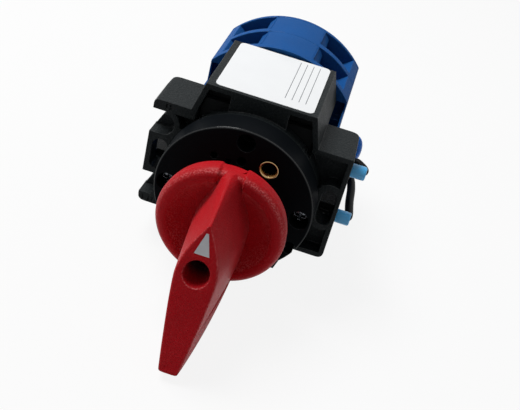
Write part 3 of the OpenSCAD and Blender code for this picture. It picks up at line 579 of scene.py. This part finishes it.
def swept(path, radius, sides):
    """Round bar: a circle of the given radius carried along a path, square to it."""
    ahead = np.gradient(path, axis=0)
    ahead /= np.linalg.norm(ahead, axis=1)[:, None]
    side = np.cross(ahead, (0.11, 0.17, 1.0))
    side /= np.linalg.norm(side, axis=1)[:, None]
    over = np.cross(side, ahead)
    angle = np.linspace(0, 2 * pi, sides, endpoint=False)
    turn = np.stack((np.cos(angle), np.sin(angle)), -1)
    ring = radius * (turn[None, :, :1] * side[:, None] + turn[None, :, 1:] * over[:, None])
    return path[:, None] + ring


def helix(middle_y, over, turns=5):
    """Helix about a line along Z, above or below the shaft: angle and height grow evenly together."""
    angle = np.linspace(0, 2 * pi * turns, 24 * turns + 1)
    height = over * np.linspace(COIL_LOW, COIL_HIGH, len(angle))
    return np.stack((COIL_R * np.cos(angle), middle_y + COIL_R * np.sin(angle), height), -1)


for side in FOUR:
    dress("bridges_" + side, stamped_copper)
    over = 1 if side.endswith("upper") else -1
    works = (0, 3) if "one" in side else (1, 2)
    coils = [swept(helix(STAGE_Y[stage], over), COIL_WIRE_R, 10) for stage in works]
    coil_mesh = grid_mesh("coils_" + side, np.stack(coils))
    coil = new_piece("coils_" + side, coil_mesh, spring_steel, None, "spring_steel", "springs_" + side)
    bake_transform(coil)
stamped_brass = metal("stamped_brass", (0.8, 0.62, 0.33), (0.64, 0.47, 0.22),
                      roughness=0.36, streaks=(1500, 5000, 5000), relief=6)
for number in range(1, 5):
    dress(f"fixed_contacts_{number}", stamped_brass)
dress("clamp_plates", plated_steel)
clamp_head = cross_head(head_r=2.8, head_h=2, shank_r=1.6, shank_l=4.15, rings=20, sides=56)
clamp_heads = [placed(clamp_head, (side * CLAMP_X, y, over * CLAMP_Z), (1, 0, 0), (0, 1, 0), (0, 0, over))
               for y in STAGE_Y for side in (1, -1) for over in (1, -1)]
new_piece("terminal_screws_cross", grid_mesh("terminal_screws_cross", np.stack(clamp_heads)),
          plated_steel, "housing", "steel", "terminal_screws")

# Jumpers: insulated wires, two black and one blue. The black ones leave the first stage in
# ferrules with light-blue collars, and all are clamped at both ends in the stages.
WIRE_Y = [10.5 + STAGE_PITCH * stage for stage in range(4)]
WIRE_Z = 8.2
WIRE_R = 1.3
BEND_X = 32.18
MOUTH_HALF = 1.4
COLLAR_PROFILE = [(0.01, 25.1), (0.93, 25.1), (0.93, 23.1), (1.7, 23.1), (1.95, 23.2), (2.05, 23.45),
                  (2.05, 32.2), (2.03, 32.45), (1.95, 32.68), (1.82, 32.83), (1.66, 32.89), (1.5, 32.85),
                  (1.42, 32.7), (1.4, 32.5), (1.4, 26.8), (0.01, 26.8)]
tin = metal("tinned_copper", (0.72, 0.72, 0.73), (0.58, 0.58, 0.6),
            roughness=0.3, streaks=(300, 6000, 6000), relief=4)
dress("ferrule_pins", tin)
collar_blue = plastic("light_blue_collar", (0.06, 0.47, 0.95), (0.1, 0.4, 0.7),
                      roughness=0.3, pits=2500, relief=6, specular=0.6, pale_wear_and_highlight=0)
collar_points = [placed(spun(COLLAR_PROFILE, 56), (0, WIRE_Y[0], z), (0, 1, 0), (0, 0, 1), (1, 0, 0))
                 for z in (WIRE_Z, -WIRE_Z)]
collar_mesh = grid_mesh("collars_spun", np.stack(collar_points))
for z in (WIRE_Z, -WIRE_Z):
    mouth = block((28.7, WIRE_Y[0], z - MOUTH_HALF), (34, 14, z + MOUTH_HALF))
    collar_mesh = carve(collar_mesh, mouth, "DIFFERENCE")
new_piece("collars_spun", collar_mesh, collar_blue, "housing", "ferrule_plastic", "ferrule_collars")


def smooth_route(corners, steps):
    """Catmull-Rom curve through the corner points, with the given number of steps between two."""
    p = np.array(corners, float)
    before, start, end, after = (p[np.clip(np.arange(len(p) - 1) + k, 0, len(p) - 1)][:, None]
                                 for k in (-1, 0, 1, 2))
    t = (np.arange(steps) / steps)[None, :, None]
    curve = 0.5 * (2 * start + (end - before) * t + (2 * before - 5 * start + 4 * end - after) * t ** 2
                   + (3 * start - before - 3 * end + after) * t ** 3)
    return np.vstack((curve.reshape(-1, 3), p[-1:]))


wire_black = plastic("black_wire_insulation", (0.008, 0.009, 0.01), (0.03, 0.03, 0.03),
                     roughness=0.4, pits=1500, relief=12, specular=0.04, pale_wear_and_highlight=0)
wire_blue = plastic("blue_wire_insulation", (0.0, 0.15, 0.64), (0.02, 0.12, 0.5),
                    roughness=0.2, pits=1500, relief=8, specular=0.12, pale_wear_and_highlight=0)
upper_route = [
    (26.9, WIRE_Y[0], WIRE_Z), (BEND_X - 2, WIRE_Y[0], WIRE_Z), (BEND_X - 0.5, WIRE_Y[0] + 0.6, WIRE_Z),
    (BEND_X, WIRE_Y[0] + 1.8, WIRE_Z), (31, WIRE_Y[0] + 3.3, WIRE_Z + 0.1),
    (29.2, WIRE_Y[0] + 5, WIRE_Z - 0.2), (28.3, WIRE_Y[1] - 5, 4.4), (27.4, WIRE_Y[1] - 2.8, -1.6),
    (26.4, WIRE_Y[1] - 1, 2.4 - WIRE_Z), (24.2, WIRE_Y[1], -WIRE_Z), (19.5, WIRE_Y[1], -WIRE_Z)]
lower_route = [
    (26.9, WIRE_Y[0], -WIRE_Z), (BEND_X - 2, WIRE_Y[0], -WIRE_Z), (BEND_X - 0.5, WIRE_Y[0] + 0.6, -WIRE_Z),
    (BEND_X, WIRE_Y[0] + 2.2, -WIRE_Z), (31.4, WIRE_Y[0] + 9, -WIRE_Z), (30.8, WIRE_Y[2] - 8, -WIRE_Z),
    (29.6, WIRE_Y[2] - 2.6, -WIRE_Z), (26.6, WIRE_Y[2] - 0.2, -WIRE_Z), (24, WIRE_Y[2], -WIRE_Z),
    (19.5, WIRE_Y[2], -WIRE_Z)]
blue_route = [
    (19.5, WIRE_Y[1], WIRE_Z), (23, WIRE_Y[1], WIRE_Z + 0.3), (25.4, WIRE_Y[1] + 0.2, WIRE_Z + 2),
    (27.3, WIRE_Y[1] + 0.8, WIRE_Z + 2.6), (28.4, WIRE_Y[1] + 1.6, WIRE_Z + 0.8),
    (28.7, WIRE_Y[1] + 2.8, WIRE_Z - 2.6), (28.3, WIRE_Y[1] + 6, 1.2), (28, WIRE_Y[2], -3.4),
    (27.2, WIRE_Y[3] - 5.6, 1.4 - WIRE_Z), (26.4, WIRE_Y[3] - 1.2, -WIRE_Z), (24, WIRE_Y[3], -WIRE_Z),
    (19.5, WIRE_Y[3], -WIRE_Z)]
for name, route, material, slot in (
        ("jumper_black_upper", upper_route, wire_black, "black_pvc"),
        ("jumper_black_lower", lower_route, wire_black, "black_pvc"),
        ("jumper_blue", blue_route, wire_blue, "blue_pvc")):
    insulation = grid_mesh(name + "_wire", swept(smooth_route(route, 9), WIRE_R, 20))
    new_piece(name + "_wire", insulation, material, "housing", slot, name)

# Handle: one red moulding, a dished knob with a fin that rises into a lever. A screw at the
# bottom of the well in the lever's face holds it on the shaft, and a white triangle points the way.
# FRONT is the disc's front face along Y, and heights, named with an H, are measured from it.
FRONT = -10.8
KNOB_R = 17.7
KNOB_GAP = 0.6
HUB_R = 6.5
FOOT_R = 9.6
RIM_R = 2.4
RIM_H = 11.8
DISH_H = 9.6
FACE_H = 34.0
FACE_SLOPE = 0.36
FACE_HALF_W = 5.4
FACE_EDGE_R = 0.6
LEAF_POINT_Z = 11.8
LEAF_WIDE_Z = -1.5
TIP_REACH = 26.0
TIP_HALF_W = 2.4
TIP_T = 2.2
TIP_ROUND = 0.9
UNDER_Z = -16.4
UNDER_H = 11.8
FIN_HALF_W = 7.6
FIN_WIDE_Z = -6
FIN_ROOT_H = 7.8
TAIL_Z = 17.0
TAIL_H = 13.4
TAIL_HALF_W = 3.5
TAIL_ROOT_H = 9.8
TAIL_INSET = 0.6
WELL_R = 3.3
WELL_LIP = 0.45
WELL_LIP_SUNK = 0.43
WELL_FLOOR_H = 24.2
WELL_SHADE_Y = (-42.4, -38.4)
SOCKET_HALF = 3.03
SCREW_SEAT_Y = -35


def mix(a, b, t):
    """Value at share t of the way from a to b."""
    return a + (b - a) * t


def way(z, start, end):
    """Share of the way that z has gone from start to end, held between 0 and 1."""
    return np.clip((z - start) / (end - start), 0, 1)


def knob_profile(inset):
    """Outline of the knob: hub, cone, an arc of 120 degrees over the rim, then a dish that rises
    with the cube of the radius. Heights over the disc become depths along Y."""
    middle = KNOB_R - RIM_R
    round_r = RIM_R - inset
    arc = np.radians(np.linspace(0, 120, 25))
    rim = np.stack((middle + round_r * np.cos(arc), RIM_H + round_r * np.sin(arc)), -1)
    brim_r, brim_h = rim[-1]
    t = np.linspace(0.97, 0.02, 34)
    hub = [(0.01, -6.8), (HUB_R, -6.8), (HUB_R, KNOB_GAP), (FOOT_R - inset, KNOB_GAP),
           (KNOB_R - 0.5 - inset, RIM_H - 3.3), (KNOB_R - 0.2 - inset, RIM_H - 2)]
    dish = np.stack((brim_r * t, mix(DISH_H - inset, brim_h, t ** 3)), -1)
    return np.concatenate((hub, rim, dish)) * (1, -1) + (0, FRONT)


def knob(name, sides=560):
    """Knob: its outline turned about the shaft, and sunk by the tail's inset in a band behind the fin,
    where the inset eases in over 0.9 mm on the left and 0.3 mm on the right."""
    angle = np.linspace(0, 2 * pi, sides, endpoint=False)[None]
    plain, sunk = (knob_profile(inset)[:, None] for inset in (0, TAIL_INSET))
    x, z = plain[..., 0] * np.cos(angle), plain[..., 0] * np.sin(angle)
    band = ease((TAIL_HALF_W + 0.1 - np.abs(x)) / np.where(x < 0, 0.9, 0.3)) * ease((z - 8.4) / 0.4)
    r, y = np.moveaxis(mix(plain, sunk, band[..., None]), -1, 0)
    return grid_mesh(name, np.stack((r * np.cos(angle), y, r * np.sin(angle)), -1))


def fin_sizes(z):
    """Half width and height of the fin's foot and of its top edge at each z. The face slopes down to a
    leaf's point, the tail falls from there, and the underside rises to the tip, which is rounded."""
    point_h = FACE_H - FACE_SLOPE * LEAF_POINT_Z
    tip_h = FACE_H + FACE_SLOPE * TIP_REACH - TIP_T
    top_w = np.where(z >= LEAF_WIDE_Z,
                     mix(FACE_HALF_W, 0.25, way(z, LEAF_WIDE_Z, LEAF_POINT_Z) ** 1.8),
                     mix(FACE_HALF_W, TIP_HALF_W, way(z, LEAF_WIDE_Z, -TIP_REACH) ** 1.3))
    top_h = np.where(z >= LEAF_POINT_Z, mix(point_h, TAIL_H, way(z, LEAF_POINT_Z, TAIL_Z)),
                     FACE_H - FACE_SLOPE * z)
    foot_w = np.where(z >= FIN_WIDE_Z, mix(TAIL_HALF_W, FIN_HALF_W, ease(way(z, 15, -1))),
                      mix(FIN_HALF_W, TIP_HALF_W + 0.2, way(z, FIN_WIDE_Z, -TIP_REACH) ** 2.2))
    foot_h = np.where(z > UNDER_Z, mix(FIN_ROOT_H, TAIL_ROOT_H, ease(way(z, 9, 13))),
                      mix(UNDER_H, tip_h, way(z, UNDER_Z, -TIP_REACH) ** (2 / 3)))
    draw_in = 1 - np.sqrt(1 - way(z, TIP_ROUND - TIP_REACH, -TIP_REACH) ** 2)
    foot = np.stack((foot_w - 0.8 * draw_in, foot_h + 0.5 * draw_in), -1)
    top = np.stack((top_w - 0.8 * draw_in, top_h - 0.5 * draw_in), -1)
    return foot[:, None], top[:, None]


def fin(name):
    """Lever and its fin: at each z a closed ring runs up the right flank, which hollows as the share of
    its height to the power 1.2, over the rounded edges of the face and down the left flank."""
    z = np.concatenate((mix(UNDER_Z, -TIP_REACH, np.linspace(1, 0, 40) ** 1.5),
                        np.linspace(UNDER_Z + 0.2, LEAF_POINT_Z, 70),
                        np.linspace(LEAF_POINT_Z + 0.1, TAIL_Z, 14)))
    foot, corner = fin_sizes(z)
    edge = np.minimum(FACE_EDGE_R, corner[..., :1] / 2)
    rise = np.linspace(0, 1, 14)[None, :, None]
    flank = np.concatenate((mix(foot[..., :1], corner[..., :1], rise ** 1.2),
                            mix(foot[..., 1:], corner[..., 1:], rise)), -1)[:, :13]
    down = flank[:, 12:] - corner
    start = corner + down / np.linalg.norm(down, axis=-1, keepdims=True) * edge
    end = corner - edge * (1, 0)
    q = np.linspace(0, 1, 7)[None, :, None]
    round_edge = (1 - q) ** 2 * start + 2 * q * (1 - q) * corner + q ** 2 * end
    half = np.concatenate((flank, round_edge), 1)
    ring = np.concatenate((half, half[:, ::-1] * (-1, 1)), 1)
    level = np.broadcast_to(z[:, None], ring.shape[:2])
    return grid_mesh(name, np.stack((ring[..., 0], FRONT - ring[..., 1], level), -1))


def well(name):
    """Screw well: a bore whose mouth follows the sloping face and is rounded by a quarter circle that
    ends just proud of the face."""
    angle = np.linspace(0, 2 * pi, 72, endpoint=False)
    lip = np.linspace(0, pi / 2, 6)
    radius = np.concatenate(((0.01, WELL_R, WELL_R), WELL_R + WELL_LIP * (1 - np.cos(lip)), (4.6,)))
    rim_rise = WELL_LIP * np.sin(lip) - WELL_LIP_SUNK
    sunk = np.concatenate(((0, 0, -WELL_LIP_SUNK), rim_rise, (0.9,)))
    x, z = radius[:, None] * np.cos(angle), radius[:, None] * np.sin(angle)
    h = FACE_H - FACE_SLOPE * z + sunk[:, None]
    h[:2] = WELL_FLOOR_H
    return grid_mesh(name, np.stack((x, FRONT - h, z), -1))


def triangle_pocket(name, gap):
    """Pocket for the pointer: the prism of a triangle with a cut-off point, square to the sloping face."""
    slope = atan(FACE_SLOPE)
    stretch = 1 / cos(slope)
    u = np.array((-1.95 - gap, 1.95 + gap, 0.3 + gap, -0.3 - gap))
    v = np.array((4.8 - gap, 4.8 - gap, 10.1 + gap, 10.1 + gap)) * stretch
    rings = [(u, FRONT - FACE_H + v * sin(slope) - d * cos(slope), v * cos(slope) + d * sin(slope))
             for d in (-0.7, 1.0)]
    return grid_mesh(name, np.stack([np.stack(ring, -1) for ring in rings]))


socket = block((-SOCKET_HALF, FRONT + 8.8, -SOCKET_HALF), (SOCKET_HALF, FRONT - 21.9, SOCKET_HALF))
handle_mesh = carve(knob("knob"), fin("fin"), "UNION")
for cut in (well("well"), triangle_pocket("pocket", 0.03), socket):
    handle_mesh = carve(handle_mesh, cut, "DIFFERENCE")
handle_mesh.shade_smooth()
handle_mesh.set_sharp_from_angle(angle=radians(28))
# The pale tips and rounded edges of the red are partly wear and partly painted sheen on the flanks and
# painted highlight on the rim.
handle_red = plastic("textured_red_moulding", (0.43, 0.004, 0.009), (0.85, 0.20, 0.20),
                     roughness=0.42, pits=2600, relief=190, specular=0.06,
                     pale_wear_and_highlight=0.25, shine=0.3, polish=0.12, flats=0.02)
red_tree = handle_red.node_tree
fed(red_tree, red_tree.nodes["Principled BSDF"], {"Sheen Weight": 0.05, "Sheen Roughness": 0.4})
# Painted shade: deep in the screw well, between the depths of WELL_SHADE_Y, the red is painted almost black.
x, y, z = object_axes(red_tree)
from_axis = worked(red_tree, "ADD", worked(red_tree, "MULTIPLY", x, x), worked(red_tree, "MULTIPLY", z, z))
in_well = worked(red_tree, "LESS_THAN", from_axis, ((WELL_R + 0.02) * MM) ** 2)
depth = added(red_tree, "MapRange", {"Value": y, "From Min": WELL_SHADE_Y[0] * MM,
                                     "From Max": WELL_SHADE_Y[1] * MM})
lay_over(handle_red, worked(red_tree, "MULTIPLY", in_well, depth.outputs["Result"]), (0.05, 0.001, 0.002))
new_piece("handle_moulded", handle_mesh, handle_red, "rotor", "red_plastic", "handle")
inlay_white = plastic("white_inlay", (0.60, 0.60, 0.63), (0.6, 0.6, 0.61),
                      roughness=0.45, pits=2500, relief=40, specular=0.2, pale_wear_and_highlight=0.2)
dress("pointer_inlay", inlay_white)
shaft_head = cross_head(head_r=2.9, head_h=2.2, shank_r=1.95, shank_l=12)
shaft_screw = placed(shaft_head, (0, SCREW_SEAT_Y, 0), (1, 0, 0), (0, 0, 1), (0, -1, 0))
new_piece("handle_screw_cross", grid_mesh("handle_screw_cross", shaft_screw),
          plated_steel, "rotor", "steel", "handle_screw")
